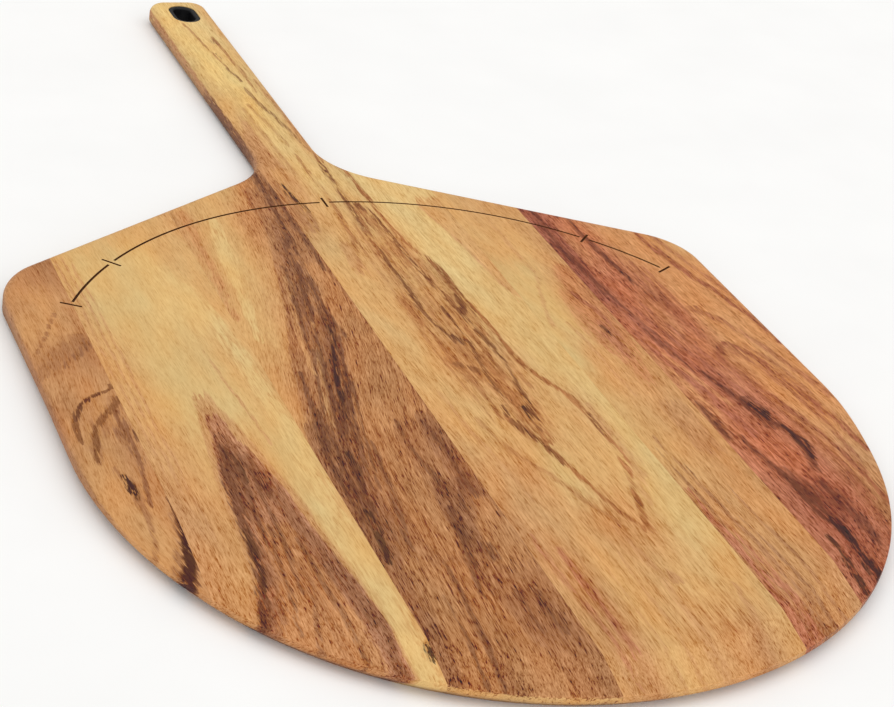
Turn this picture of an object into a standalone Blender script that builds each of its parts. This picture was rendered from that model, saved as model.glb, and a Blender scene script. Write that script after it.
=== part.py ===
"""Pizza peel: six edge-glued wooden staves, an engraved pizza guide and a lined hanging hole.

Units are metres and +Z is up. The flat underside lies on z = 0 and the origin is straight below the
centre of the pizza guide. +Y runs along the grain towards the handle's end and +X across the blade.

The board is made whole first: its outline is a chain of arcs and straight lines, and a section that
changes along the outline is swept round it. The board is then sawn along its glue lines into staves.
"""
from math import acos, cos, pi, radians, sin, tan

import bmesh
import bpy
from mathutils import Vector

# Outline, seen from above
BLADE_HALF_WIDTH = 0.1815
FRONT_TIP_RADIUS = 0.1795       # arc across the middle of the front
FRONT_SIDE_RADIUS = 0.2032      # arc that joins the front to each straight side
FRONT_START_Y = -0.0229         # where each straight side turns into the front
SHOULDER_ANGLE = radians(31.2)  # rise of the shoulder towards the handle
SHOULDER_CORNER_Y = 0.1197      # where the side and shoulder lines would cross
CORNER_RADIUS = 0.0365
HANDLE_HALF_WIDTH = 0.0178
HANDLE_END_Y = 0.4548
HANDLE_ROOT_RADIUS = 0.0446
HANDLE_END_RADIUS = 0.0107

# Section through the edge
THICKNESS = 0.0127
TOP_ROUND = 0.0048              # roundover along the sides, the shoulders and the handle
TOP_MARGIN = 0.0010             # flat strip inside the roundover
FRONT_BEVEL_WIDTH = 0.0190      # shallow bevel that thins the front, measured across the edge
FRONT_BEVEL_DROP = 0.0042
FRONT_ARRIS_ROUND = 0.0005
BEVEL_FULL_Y = -0.0800          # the bevel has its full size in front of this line
BEVEL_END_Y = -0.0360           # and has run out behind this one
ROUND_STEPS = 3

# Underside edge: (y, size, roundness), where roundness 0 is a 45 degree bevel and 1 a quarter round
UNDERSIDE_EDGE = [
    (0.018, 0.0054, 0.0),
    (0.124, 0.0014, 0.0),
    (0.215, 0.0046, 1.0),
]

# Staves, left to right: name, right-hand glue line, colour
GLUE_GAP = 0.0003
STAVES = [
    ("left_edge_stave", -0.1533, (0.47, 0.22, 0.085)),
    ("left_outer_stave", -0.0843, (0.56, 0.34, 0.14)),
    ("left_inner_stave", -0.0221, (0.34, 0.15, 0.060)),
    ("handle_stave", 0.0638, (0.60, 0.38, 0.17)),
    ("right_inner_stave", 0.1033, (0.54, 0.29, 0.12)),
    ("right_edge_stave", BLADE_HALF_WIDTH + 0.01, (0.40, 0.16, 0.060)),
]
WOOD_ROUGHNESS = 0.5

# Pizza guide: an arc of a 14 inch circle with ticks across it
GUIDE_RADIUS = 0.1778
GUIDE_TICKS = [radians(angle) for angle in (-60, -45, 0, 45, 60)]
GUIDE_GAP = 0.0145              # clear arc on each side of a tick, in radians
GUIDE_LINE_WIDTH = 0.0009
TICK_LENGTH = 0.0103
TICK_WIDTH = 0.0007
GROOVE_DEPTH = 0.0004
GROOVE_STEP = radians(3.0)

# Hanging hole and its moulded liner
HOLE_CENTRE_Y = 0.4323
HOLE_HALF_WIDTH = 0.0084
HOLE_HALF_LENGTH = 0.0132
LINER_GAP = 0.0003
LINER_WALL = 0.0026
LINER_LIP_ROUND = 0.0012
LINER_RECESS = 0.0003           # the liner's faces stay just inside the board's faces
LINER_COLOUR = (0.012, 0.011, 0.012)
LINER_ROUGHNESS = 0.3
HOLE_STEPS = 12


def clear_scene():
    for obj in list(bpy.data.objects):
        bpy.data.objects.remove(obj, do_unlink=True)


def mix(a, b, share):
    return a + (b - a) * share


def smooth_step(value, start, end):
    share = min(max((value - start) / (end - start), 0.0), 1.0)
    return share * share * (3.0 - 2.0 * share)


def direction(angle):
    return Vector((cos(angle), sin(angle)))


def arc(centre, radius, start, end, steps, hollow=False):
    """Points and outward normals along an arc; a hollow arc curves into the board."""
    spots = []
    for step in range(steps + 1):
        outward = direction(mix(start, end, step / steps))
        sign = -1.0 if hollow else 1.0
        spots.append((centre + outward * radius * sign, outward))
    return spots


def straight(start, end, outward, steps):
    """Points between two corners, without the corners themselves."""
    return [(start.lerp(end, step / steps), outward) for step in range(1, steps)]


def right_half_outline():
    """Points and outward normals from the front tip round to the middle of the handle's end."""
    arc_change = radius_change_angle()
    side_centre = Vector((BLADE_HALF_WIDTH - FRONT_SIDE_RADIUS, FRONT_START_Y))
    tip_centre = side_centre + direction(-arc_change) * (FRONT_SIDE_RADIUS - FRONT_TIP_RADIUS)
    spots = arc(tip_centre, FRONT_TIP_RADIUS, -pi / 2, -arc_change, 18)
    spots += arc(side_centre, FRONT_SIDE_RADIUS, -arc_change, 0.0, 8)[1:]

    corner_turn = pi / 2 - SHOULDER_ANGLE
    corner_setback = tan(corner_turn / 2)
    corner_centre = Vector((BLADE_HALF_WIDTH - CORNER_RADIUS,
                            SHOULDER_CORNER_Y - CORNER_RADIUS * corner_setback))
    corner = arc(corner_centre, CORNER_RADIUS, 0.0, corner_turn, 8)

    root_y = SHOULDER_CORNER_Y + (BLADE_HALF_WIDTH - HANDLE_HALF_WIDTH) * tan(SHOULDER_ANGLE)
    root_centre = Vector((HANDLE_HALF_WIDTH + HANDLE_ROOT_RADIUS,
                          root_y + HANDLE_ROOT_RADIUS * corner_setback))
    root = arc(root_centre, HANDLE_ROOT_RADIUS, corner_turn, 0.0, 9, hollow=True)

    end_centre = Vector((HANDLE_HALF_WIDTH - HANDLE_END_RADIUS, HANDLE_END_Y - HANDLE_END_RADIUS))
    end = arc(end_centre, HANDLE_END_RADIUS, 0.0, pi / 2, 7)

    spots += straight(spots[-1][0], corner[0][0], direction(0.0), 6) + corner
    spots += straight(corner[-1][0], root[0][0], direction(corner_turn), 5) + root
    spots += straight(root[-1][0], end[0][0], direction(0.0), 3) + end
    return spots


def radius_change_angle():
    """Where the front's two radii meet, as the angle below +X of the shared normal."""
    return acos((FRONT_SIDE_RADIUS - BLADE_HALF_WIDTH) / (FRONT_SIDE_RADIUS - FRONT_TIP_RADIUS))


def board_outline():
    """The whole outline, counter-clockwise from the front tip."""
    right = right_half_outline()
    left = [(Vector((-point.x, point.y)), Vector((-outward.x, outward.y)))
            for point, outward in reversed(right)]
    return right + left[:-1]


def underside_edge(y):
    """Size and roundness of the underside's edge at a place along the board."""
    if y <= UNDERSIDE_EDGE[0][0]:
        return UNDERSIDE_EDGE[0][1:]
    for (y0, size0, round0), (y1, size1, round1) in zip(UNDERSIDE_EDGE, UNDERSIDE_EDGE[1:]):
        if y <= y1:
            share = (y - y0) / (y1 - y0)
            return mix(size0, size1, share), mix(round0, round1, share)
    return UNDERSIDE_EDGE[-1][1:]


def edge_section(y):
    """The section at one place: (distance in from the outline, height), from top to bottom."""
    bevel = smooth_step(y, BEVEL_END_Y, BEVEL_FULL_Y)
    top_round = mix(TOP_ROUND, FRONT_ARRIS_ROUND, bevel)
    top_edge = THICKNESS - FRONT_BEVEL_DROP * bevel
    section = [(mix(TOP_ROUND + TOP_MARGIN, FRONT_BEVEL_WIDTH, bevel), THICKNESS)]
    for step in range(ROUND_STEPS + 1):
        angle = pi / 2 * step / ROUND_STEPS
        section.append((top_round * (1 - sin(angle)), top_edge - top_round * (1 - cos(angle))))
    size, roundness = underside_edge(y)
    for step in range(ROUND_STEPS + 1):
        share = step / ROUND_STEPS
        angle = pi / 2 * share
        inward = size * mix(share, 1 - cos(angle), roundness)
        height = size * mix(1 - share, 1 - sin(angle), roundness)
        section.append((inward, height))
    return section


def swept_solid(loops):
    """A closed body from equal loops of points, the first loop on top, capped at both ends."""
    mesh = bmesh.new()
    rings = [[mesh.verts.new(point) for point in loop] for loop in loops]
    count = len(rings[0])
    for upper, lower in zip(rings, rings[1:]):
        for here in range(count):
            after = (here + 1) % count
            mesh.faces.new((upper[here], lower[here], lower[after], upper[after]))
    mesh.faces.new(rings[0])
    mesh.faces.new(list(reversed(rings[-1])))
    return mesh


def board_solid():
    outline = board_outline()
    sections = [edge_section(point.y) for point, outward in outline]
    loops = []
    for level in range(len(sections[0])):
        loop = []
        for (point, outward), section in zip(outline, sections):
            inward, height = section[level]
            loop.append((point - outward * inward).to_3d() + Vector((0, 0, height)))
        loops.append(loop)
    return swept_solid(loops)


def saw(mesh, x, keep_right):
    """Cut the body on the plane at x, keep one side and close the sawn face."""
    geometry = mesh.verts[:] + mesh.edges[:] + mesh.faces[:]
    cut = bmesh.ops.bisect_plane(
        mesh, geom=geometry, dist=1e-7, plane_co=(x, 0, 0), plane_no=(1, 0, 0),
        clear_inner=keep_right, clear_outer=not keep_right)
    edges = [item for item in cut["geom_cut"] if isinstance(item, bmesh.types.BMEdge)]
    if edges:
        bmesh.ops.edgeloop_fill(mesh, edges=edges)


def plain_material(name, colour, roughness):
    material = bpy.data.materials.new(name)
    material.use_nodes = True
    shader = material.node_tree.nodes["Principled BSDF"]
    shader.inputs["Base Color"].default_value = (*colour, 1.0)
    shader.inputs["Roughness"].default_value = roughness
    shader.inputs["Metallic"].default_value = 0.0
    material.diffuse_color = (*colour, 1.0)
    return material


def add_object(name, solid, origin, parent=None):
    """Turn a body into an object whose own origin is at the given place."""
    bmesh.ops.translate(solid, verts=solid.verts[:], vec=-origin)
    bmesh.ops.recalc_face_normals(solid, faces=solid.faces[:])
    data = bpy.data.meshes.new(name)
    solid.to_mesh(data)
    solid.free()
    obj = bpy.data.objects.new(name, data)
    obj.location = origin
    obj.parent = parent
    bpy.context.scene.collection.objects.link(obj)
    return obj


def smooth_rounded(obj):
    obj.data.shade_smooth()
    obj.data.set_sharp_from_angle(angle=radians(35))


def make_cutter(name, solid):
    cutter = add_object(name, solid, Vector((0, 0, 0)))
    cutter.hide_render = True
    cutter.display_type = 'WIRE'
    return cutter


def subtract(obj, cutter):
    boolean = obj.modifiers.new(cutter.name, 'BOOLEAN')
    boolean.operation = 'DIFFERENCE'
    boolean.solver = 'EXACT'
    boolean.object = cutter


def prism(flat_points, low, high):
    """A straight-sided body over a flat outline."""
    return swept_solid([[Vector((point.x, point.y, height)) for point in flat_points]
                        for height in (high, low)])


def guide_point(angle, radius):
    """A place on the guide, with the angle counted from the handle's direction towards +X."""
    return Vector((radius * sin(angle), radius * cos(angle)))


def guide_arc_outline(start, end):
    steps = max(1, round((end - start) / GROOVE_STEP))
    angles = [mix(start, end, step / steps) for step in range(steps + 1)]
    inner = [guide_point(angle, GUIDE_RADIUS - GUIDE_LINE_WIDTH / 2) for angle in angles]
    outer = [guide_point(angle, GUIDE_RADIUS + GUIDE_LINE_WIDTH / 2) for angle in angles]
    return inner + outer[::-1]


def tick_outline(angle):
    along = guide_point(angle, 1.0)
    across = Vector((along.y, -along.x)) * TICK_WIDTH / 2
    near = along * (GUIDE_RADIUS - TICK_LENGTH / 2)
    far = along * (GUIDE_RADIUS + TICK_LENGTH / 2)
    return [near - across, near + across, far + across, far - across]


def guide_cutter():
    """Every line of the guide as one set of shallow prisms."""
    outlines = [tick_outline(angle) for angle in GUIDE_TICKS]
    for start, end in zip(GUIDE_TICKS, GUIDE_TICKS[1:]):
        outlines.append(guide_arc_outline(start + GUIDE_GAP, end - GUIDE_GAP))
    lines = bmesh.new()
    for outline in outlines:
        line = prism(outline, THICKNESS - GROOVE_DEPTH, THICKNESS + GROOVE_DEPTH)
        data = bpy.data.meshes.new("guide_line")
        line.to_mesh(data)
        line.free()
        lines.from_mesh(data)
        bpy.data.meshes.remove(data)
    return make_cutter("guide_cutter", lines)


def oblong(inset):
    """The hanging hole's outline, drawn in by an inset, as two half circles."""
    radius = HOLE_HALF_WIDTH - inset
    reach = HOLE_HALF_LENGTH - HOLE_HALF_WIDTH
    points = []
    for side, start in ((1, 0.0), (-1, pi)):
        for step in range(HOLE_STEPS + 1):
            around = direction(start + pi * step / HOLE_STEPS)
            points.append(Vector((0, HOLE_CENTRE_Y + side * reach)) + around * radius)
    return points


def hole_cutter():
    return make_cutter("hanging_hole_cutter", prism(oblong(0.0), -0.001, THICKNESS + 0.001))


def liner_section():
    """The liner's closed section: (inset from the hole's wall, height), round its four corners."""
    low = LINER_RECESS
    high = THICKNESS - LINER_RECESS
    outer = LINER_GAP
    inner = LINER_GAP + LINER_WALL
    section = [(outer, low), (outer, high)]
    for step in range(ROUND_STEPS + 1):
        angle = pi / 2 * step / ROUND_STEPS
        section.append((inner - LINER_LIP_ROUND * (1 - sin(angle)),
                        high - LINER_LIP_ROUND * (1 - cos(angle))))
    for step in range(ROUND_STEPS + 1):
        angle = pi / 2 * step / ROUND_STEPS
        section.append((inner - LINER_LIP_ROUND * (1 - cos(angle)),
                        low + LINER_LIP_ROUND * (1 - sin(angle))))
    return section


def liner_solid():
    solid = bmesh.new()
    rings = []
    for inset, height in liner_section():
        rings.append([solid.verts.new((point.x, point.y, height)) for point in oblong(inset)])
    count = len(rings[0])
    for ring, following in zip(rings, rings[1:] + rings[:1]):
        for here in range(count):
            after = (here + 1) % count
            solid.faces.new((ring[here], following[here], following[after], ring[after]))
    return solid


def build_staves(peel):
    guide = guide_cutter()
    hole = hole_cutter()
    left_line = -BLADE_HALF_WIDTH - 0.01
    for name, right_line, colour in STAVES:
        stave = board_solid()
        saw(stave, left_line + GLUE_GAP / 2, keep_right=True)
        saw(stave, right_line - GLUE_GAP / 2, keep_right=False)
        middle = (max(left_line, -BLADE_HALF_WIDTH) + min(right_line, BLADE_HALF_WIDTH)) / 2
        obj = add_object(name, stave, Vector((middle, 0, 0)), peel)
        obj.data.materials.append(plain_material(name, colour, WOOD_ROUGHNESS))
        smooth_rounded(obj)
        subtract(obj, guide)
        if name == "handle_stave":
            subtract(obj, hole)
        left_line = right_line


def build_liner(peel):
    obj = add_object("hanging_hole_liner", liner_solid(), Vector((0, HOLE_CENTRE_Y, 0)), peel)
    obj.data.materials.append(plain_material("hanging_hole_liner", LINER_COLOUR, LINER_ROUGHNESS))
    smooth_rounded(obj)


def main():
    clear_scene()
    peel = bpy.data.objects.new("pizza_peel", None)
    bpy.context.scene.collection.objects.link(peel)
    build_staves(peel)
    build_liner(peel)


main()
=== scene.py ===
"""Looks of the wooden pizza peel: finer staves with grain, engraved lines and the moulded liner.

Units are metres in the part's frame: +Y along the grain to the handle's end, +X across, +Z up.
The wood's figure is laid out in millimetres on the top face, as (y, x, ...) down each stave.
Marks drawn later lie over the earlier ones.
"""
from math import acos, cos, pi, radians, sin, tan

import bmesh
import bpy
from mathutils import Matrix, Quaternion, Vector


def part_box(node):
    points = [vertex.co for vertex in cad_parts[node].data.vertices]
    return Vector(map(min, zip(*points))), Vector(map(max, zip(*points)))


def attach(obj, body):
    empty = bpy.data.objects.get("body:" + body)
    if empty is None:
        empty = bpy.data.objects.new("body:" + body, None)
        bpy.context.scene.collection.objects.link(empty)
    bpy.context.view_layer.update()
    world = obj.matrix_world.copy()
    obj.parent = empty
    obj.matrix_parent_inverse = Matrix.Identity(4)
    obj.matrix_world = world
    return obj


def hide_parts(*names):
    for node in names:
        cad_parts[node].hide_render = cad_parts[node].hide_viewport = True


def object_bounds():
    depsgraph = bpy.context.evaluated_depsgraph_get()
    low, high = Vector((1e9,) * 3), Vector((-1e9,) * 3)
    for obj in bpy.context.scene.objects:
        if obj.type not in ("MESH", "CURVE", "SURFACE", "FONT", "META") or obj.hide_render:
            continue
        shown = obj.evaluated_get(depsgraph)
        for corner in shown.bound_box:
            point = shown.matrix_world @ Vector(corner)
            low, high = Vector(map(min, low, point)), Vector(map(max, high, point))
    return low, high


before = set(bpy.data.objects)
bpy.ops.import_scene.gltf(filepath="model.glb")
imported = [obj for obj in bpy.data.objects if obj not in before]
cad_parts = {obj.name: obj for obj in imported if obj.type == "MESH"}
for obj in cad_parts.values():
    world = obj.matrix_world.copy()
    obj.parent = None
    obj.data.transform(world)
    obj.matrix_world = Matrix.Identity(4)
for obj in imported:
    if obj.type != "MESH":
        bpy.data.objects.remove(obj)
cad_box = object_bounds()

# Sizes read from the frame
BOARD_LOW, BOARD_HIGH = cad_box
THICKNESS = BOARD_HIGH.z
BLADE_HALF_WIDTH = BOARD_HIGH.x
HANDLE_END_Y = BOARD_HIGH.y
LINER_LOW, LINER_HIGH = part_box("hanging_hole_liner")

# Outline, as in the CAD
FRONT_TIP_RADIUS = 0.1795
FRONT_SIDE_RADIUS = 0.2032
FRONT_START_Y = -0.0229
SHOULDER_ANGLE = radians(31.2)
SHOULDER_CORNER_Y = 0.1197
CORNER_RADIUS = 0.0365
HANDLE_HALF_WIDTH = 0.0178
HANDLE_ROOT_RADIUS = 0.0446
HANDLE_END_RADIUS = 0.0107

# Section through the edge, as in the CAD, with its small arrises softened
TOP_ROUND = 0.0048
TOP_MARGIN = 0.0010
TOP_ARRIS_REACH = TOP_MARGIN * 0.4
FRONT_BEVEL_WIDTH = 0.0190
FRONT_BEVEL_DROP = 0.0042
FRONT_ARRIS_ROUND = 0.0005
BEVEL_FULL_Y = -0.0800
BEVEL_END_Y = -0.0360
BEVEL_ARRIS_REACH = 0.0016
UNDERSIDE_ARRIS_REACH = 0.0006
UNDERSIDE_ARRIS_SHARE = 0.45    # the most of the bevel that one softened arris takes
UNDERSIDE_EDGE = [              # (y, size, roundness)
    (0.018, 0.0054, 0.0),
    (0.124, 0.0014, 0.0),
    (0.215, 0.0046, 1.0),
]
ARRIS_STEPS = 4
ROUND_STEPS = 8
SMOOTH_ANGLE = radians(30)
GLUE_GAP = 0.00004
SAW_CLEARANCE = 0.01
SAW_TOLERANCE = 1e-7

# Engraved pizza guide
GUIDE_RADIUS = 0.1778
GUIDE_TICKS = [radians(angle) for angle in (-60, -45, 0, 45, 60)]
GUIDE_GAP = 0.0145
LINE_WIDTH = 0.00125
TICK_LENGTH = 0.0103
GROOVE_DEPTH = 0.0004
GROOVE_TAPER = 0.7
GROOVE_STEP = radians(0.75)

# Hanging hole and liner
LINER_GAP = 0.0001
LINER_WALL = 0.0026
LINER_LIP_ROUND = 0.0012
LINER_OUTER_ROUND = 0.0003
HOLE_CAD_GAP = 0.0003
HOLE_HALF_WIDTH = LINER_HIGH.x + HOLE_CAD_GAP
HOLE_HALF_LENGTH = (LINER_HIGH.y - LINER_LOW.y) / 2 + HOLE_CAD_GAP
HOLE_CENTRE_Y = (LINER_HIGH.y + LINER_LOW.y) / 2
HOLE_STEPS = 32
HOLE_MARGIN = 0.001

# Wood colours
BUTTER = (0.80, 0.53, 0.20)
CREAM = (0.75, 0.50, 0.208)
STRAW = (0.70, 0.455, 0.187)
HONEY = (0.68, 0.385, 0.151)
AMBER = (0.64, 0.34, 0.135)
ORANGE = (0.60, 0.30, 0.12)
TAN = (0.54, 0.26, 0.11)
BROWN = (0.46, 0.205, 0.085)
UMBER = (0.37, 0.157, 0.065)
COCOA = (0.45, 0.198, 0.102)
GARNET = (0.31, 0.092, 0.042)
MAROON = (0.16, 0.046, 0.024)
CHESTNUT = (0.265, 0.105, 0.048)
DARK = (0.16, 0.058, 0.028)
INK = (0.05, 0.018, 0.008)
COPPER = (0.62, 0.275, 0.108)
CLAY = (0.53, 0.235, 0.090)
WALNUT = (0.37, 0.142, 0.048)
PEAT = (0.21, 0.075, 0.028)
ROSE = (0.56, 0.23, 0.10)
SIENNA = (0.52, 0.21, 0.09)
BRICK = (0.47, 0.154, 0.074)
RUST = (0.42, 0.145, 0.075)
WINE = (0.33, 0.10, 0.055)

# The grain's noises: feature size in millimetres (x, y, z), seed, detail and roughness
GRAIN = {
    "fibre": ((0.45, 9, 0.45), 0, 3.0, 0.6),
    "strands": ((1.1, 10, 1.1), 12, 2.0, 0.5),
    "streaks": ((2.4, 45, 2.4), 5, 3.0, 0.55),
    "wobble": ((14, 40, 14), 9, 1.0, 0.5),
    "lengths": ((2.2, 26, 2.2), 40, 2.0, 0.5),
    "dashes": ((0.50, 4.2, 0.50), 21, 2.0, 0.6),
    "broad": ((7.0, 110, 7.0), 25, 2.0, 0.5),
    "clouds": ((9.0, 28, 9.0), 28, 2.0, 0.5),
    "ripple": ((9.0, 2.2, 9.0), 30, 2.0, 0.5),
}
# Marks, with lengths in millimetres
MARK_SPAN = 400.0               # the width across which the marks' curves are drawn
LEAN_TOP = 8.0                  # the figure leans below this height
LINE_BLUR = 2.4                 # a line fades out at this many half widths from its middle
LINE_CORE = 0.1                 # and is at its full strength within this share of that
FIBRE_SHIFT = 2.0               # how far the fibres push a mark sideways
WOBBLE_SHIFT = 4.0              # how far the wobble does
FIELD_RAGGEDNESS = 30.0         # how far the strands carry a patch's or a base colour's ends
BUNDLE_WEIGHTS = {"strands": 4.5, "fibre": 2.5}     # what breaks a mark up into strands
PACKED_FLOOR = 0.4              # how far the gaps in a patch may open
COVER_RANGE = (0.2, 0.8)
COME_AND_GO = (0.38, 0.58, 0.5, 1.2)    # the noise's range, and a streak's strength over it
PATCH_BODY = 2.2
RIM_BODY = 1.5
RIM_HEIGHTS = (8.3, 10.2)       # top of the edge's face at the front and further back
RIM_FALL = (0.7, -2.2)          # an edge tone fades in over these heights from there,
RIM_FOOT = (0.2, 0.8)           # and out over these above the underside
RIM_FADE = 24.0

# Tone and surface
TONE_WEIGHTS = {"dashes": -2.1, "fibre": 2.8, "strands": 1.9, "streaks": 1.3, "broad": 0.8,
                "clouds": 0.7}
PORE_WEIGHT = -0.30
PORE_RANGE = (0.55, 0.68)
DARKNESS_RANGE = (0.50, 0.17)   # brightness of plain wood and of dark figure
DARKNESS_POWER = 1.6
LIGHTENING = 0.65               # the grain lightens the wood by this share of its darkening
WARMTH = (0.1, -0.2, -0.5)
TINT = (0.68, 1.0, 1.35)
# painted shade on the edge's face, darker towards the lower arris; the underside is left out
PAINTED_LOWER_SHADE = (0.8, 7.0, 0.5, 1.0)  # two heights on the edge's face, and the tone at each
UNDERSIDE_SHADE = (0.7, 0.2)
SHEEN_LIFT = (0.024, 0.025, 0.027)  # what the satin surface adds to every colour
DARKEST = (0.012, 0.005, 0.003)
ROUGHNESS = (0.46, 0.60)
PORE_ROUGHNESS = 0.18


# ---------------------------------------------------------------- geometry

def mix(a, b, share):
    return a + (b - a) * share


def smooth_step(value, start, end):
    share = min(max((value - start) / (end - start), 0.0), 1.0)
    return share * share * (3.0 - 2.0 * share)


def shares(steps):
    """Even shares from 0 to 1, with both ends."""
    return [step / steps for step in range(steps + 1)]


def direction(angle):
    return Vector((cos(angle), sin(angle)))


def at_height(points, height):
    return [Vector((*point, height)) for point in points]


def arc(centre, radius, start, end, steps, hollow=False):
    """Points and outward normals along an arc; a hollow arc curves into the board."""
    reach = -radius if hollow else radius
    outwards = [direction(mix(start, end, share)) for share in shares(steps)]
    return [(centre + outward * reach, outward) for outward in outwards]


def straight(start, end, outward, steps):
    """Points between two corners, without the corners themselves."""
    return [(start.lerp(end, share), outward) for share in shares(steps)[1:-1]]


def right_half_outline():
    """Points and outward normals from the front tip round to the middle of the handle's end."""
    # the front's two arcs meet where their shared normal lies this far below +X
    radius_drop = FRONT_SIDE_RADIUS - FRONT_TIP_RADIUS
    change = acos((FRONT_SIDE_RADIUS - BLADE_HALF_WIDTH) / radius_drop)
    side_centre = Vector((BLADE_HALF_WIDTH - FRONT_SIDE_RADIUS, FRONT_START_Y))
    tip_centre = side_centre + direction(-change) * radius_drop
    spots = arc(tip_centre, FRONT_TIP_RADIUS, -pi / 2, -change, steps=80)
    spots += arc(side_centre, FRONT_SIDE_RADIUS, -change, 0.0, steps=36)[1:]

    corner_turn = pi / 2 - SHOULDER_ANGLE
    setback = tan(corner_turn / 2)
    corner_centre = Vector((BLADE_HALF_WIDTH - CORNER_RADIUS,
                            SHOULDER_CORNER_Y - CORNER_RADIUS * setback))
    corner = arc(corner_centre, CORNER_RADIUS, 0.0, corner_turn, steps=28)

    root_y = SHOULDER_CORNER_Y + (BLADE_HALF_WIDTH - HANDLE_HALF_WIDTH) * tan(SHOULDER_ANGLE)
    root_centre = Vector((HANDLE_HALF_WIDTH + HANDLE_ROOT_RADIUS,
                          root_y + HANDLE_ROOT_RADIUS * setback))
    root = arc(root_centre, HANDLE_ROOT_RADIUS, corner_turn, 0.0, steps=30, hollow=True)

    end_centre = Vector((HANDLE_HALF_WIDTH - HANDLE_END_RADIUS, HANDLE_END_Y - HANDLE_END_RADIUS))
    end = arc(end_centre, HANDLE_END_RADIUS, 0.0, pi / 2, steps=24)

    spots += straight(spots[-1][0], corner[0][0], direction(0.0), steps=16) + corner
    spots += straight(corner[-1][0], root[0][0], direction(corner_turn), steps=12) + root
    return spots + straight(root[-1][0], end[0][0], direction(0.0), steps=10) + end


def board_outline():
    """The whole outline, counter-clockwise from the front tip."""
    right = right_half_outline()
    left = [(Vector((-point.x, point.y)), Vector((-outward.x, outward.y)))
            for point, outward in reversed(right)]
    return right + left[:-1]


def underside_edge(y):
    """Size and roundness of the underside's edge at a place along the board."""
    y = min(max(y, UNDERSIDE_EDGE[0][0]), UNDERSIDE_EDGE[-1][0])
    for (y0, *before), (y1, *after) in zip(UNDERSIDE_EDGE, UNDERSIDE_EDGE[1:]):
        if y <= y1:
            return [mix(a, b, (y - y0) / (y1 - y0)) for a, b in zip(before, after)]


def softened_corner(before, corner, after, reach):
    """A corner of a section drawn as a short curve that starts and ends a reach away from it."""
    start = corner + (before - corner).normalized() * reach
    end = corner + (after - corner).normalized() * reach
    return [start.lerp(corner, share).lerp(corner.lerp(end, share), share)
            for share in shares(ARRIS_STEPS)]


def quarter_round(inset, height, radius, start, steps=ROUND_STEPS):
    """A quarter circle of a section round a centre, from a start angle."""
    centre = Vector((inset, height))
    return [centre + direction(start + pi / 2 * share) * radius for share in shares(steps)]


def underside_curve(size, roundness):
    """From the edge's face to the underside: a softened 45 degree bevel or a quarter round."""
    high = Vector((0, size))
    low = Vector((size, 0))
    reach = min(UNDERSIDE_ARRIS_REACH, size * UNDERSIDE_ARRIS_SHARE)
    bevel = softened_corner(high + Vector((0, 1)), high, low, reach)
    bevel += softened_corner(high, low, low + Vector((1, 0)), reach)
    quarter = quarter_round(size, size, size, pi, len(bevel) - 1)
    return [flat.lerp(curved, roundness) for flat, curved in zip(bevel, quarter)]


def edge_section(y):
    """The section at one place: (distance in from the outline, height), from top to bottom."""
    bevel = smooth_step(y, BEVEL_END_Y, BEVEL_FULL_Y)
    top_round = mix(TOP_ROUND, FRONT_ARRIS_ROUND, bevel)
    top_edge = THICKNESS - FRONT_BEVEL_DROP * bevel
    arris = Vector((mix(TOP_ROUND + TOP_MARGIN, FRONT_BEVEL_WIDTH, bevel), THICKNESS))
    reach = mix(TOP_ARRIS_REACH, BEVEL_ARRIS_REACH, bevel)
    section = [arris + Vector((reach * 2, 0))]
    section += softened_corner(arris + Vector((1, 0)), arris, Vector((top_round, top_edge)), reach)
    section += quarter_round(top_round, top_edge - top_round, top_round, pi / 2)
    return section + underside_curve(*underside_edge(y))


def swept_solid(loops, mesh=None, ring=False):
    """A closed body from equal loops: capped, with the first loop on top, or joined in a ring."""
    if mesh is None:
        mesh = bmesh.new()
    loops = [[mesh.verts.new(point) for point in loop] for loop in loops]
    following = loops[1:] + loops[:1] if ring else loops[1:]
    for upper, lower in zip(loops, following):
        for here in range(len(upper)):
            after = (here + 1) % len(upper)
            mesh.faces.new((upper[here], lower[here], lower[after], upper[after]))
    if not ring:
        mesh.faces.new(loops[0])
        mesh.faces.new(loops[-1][::-1])
    return mesh


def board_solid():
    outline = board_outline()
    sections = [edge_section(point.y) for point, outward in outline]
    loops = [[Vector((*(point - outward * inward), height))
              for (point, outward), (inward, height) in zip(outline, level)]
             for level in zip(*sections)]
    return swept_solid(loops)


def saw(mesh, x, keep_right):
    """Cut the body on the plane at x, keep one side and close the sawn face."""
    geometry = mesh.verts[:] + mesh.edges[:] + mesh.faces[:]
    cut = bmesh.ops.bisect_plane(
        mesh, geom=geometry, dist=SAW_TOLERANCE, plane_co=(x, 0, 0), plane_no=(1, 0, 0),
        clear_inner=keep_right, clear_outer=not keep_right)
    edges = [item for item in cut["geom_cut"] if isinstance(item, bmesh.types.BMEdge)]
    if edges:
        bmesh.ops.edgeloop_fill(mesh, edges=edges)


def add_object(name, solid, materials, material_index=0):
    bmesh.ops.recalc_face_normals(solid, faces=solid.faces[:])
    for face in solid.faces:
        face.material_index = material_index
    data = bpy.data.meshes.new(name)
    solid.to_mesh(data)
    solid.free()
    for material in materials:
        data.materials.append(material)
    obj = bpy.data.objects.new(name, data)
    bpy.context.scene.collection.objects.link(obj)
    return obj


def cut_away(obj, cutters):
    """Subtract each cutter for good, keeping the cutters' material indices on the cut faces."""
    for cutter in cutters:
        boolean = obj.modifiers.new(cutter.name, 'BOOLEAN')
        boolean.operation = 'DIFFERENCE'
        boolean.solver = 'EXACT'
        boolean.object = cutter
    depsgraph = bpy.context.evaluated_depsgraph_get()
    cut = bpy.data.meshes.new_from_object(obj.evaluated_get(depsgraph))
    obj.modifiers.clear()
    obj.data = cut


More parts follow.
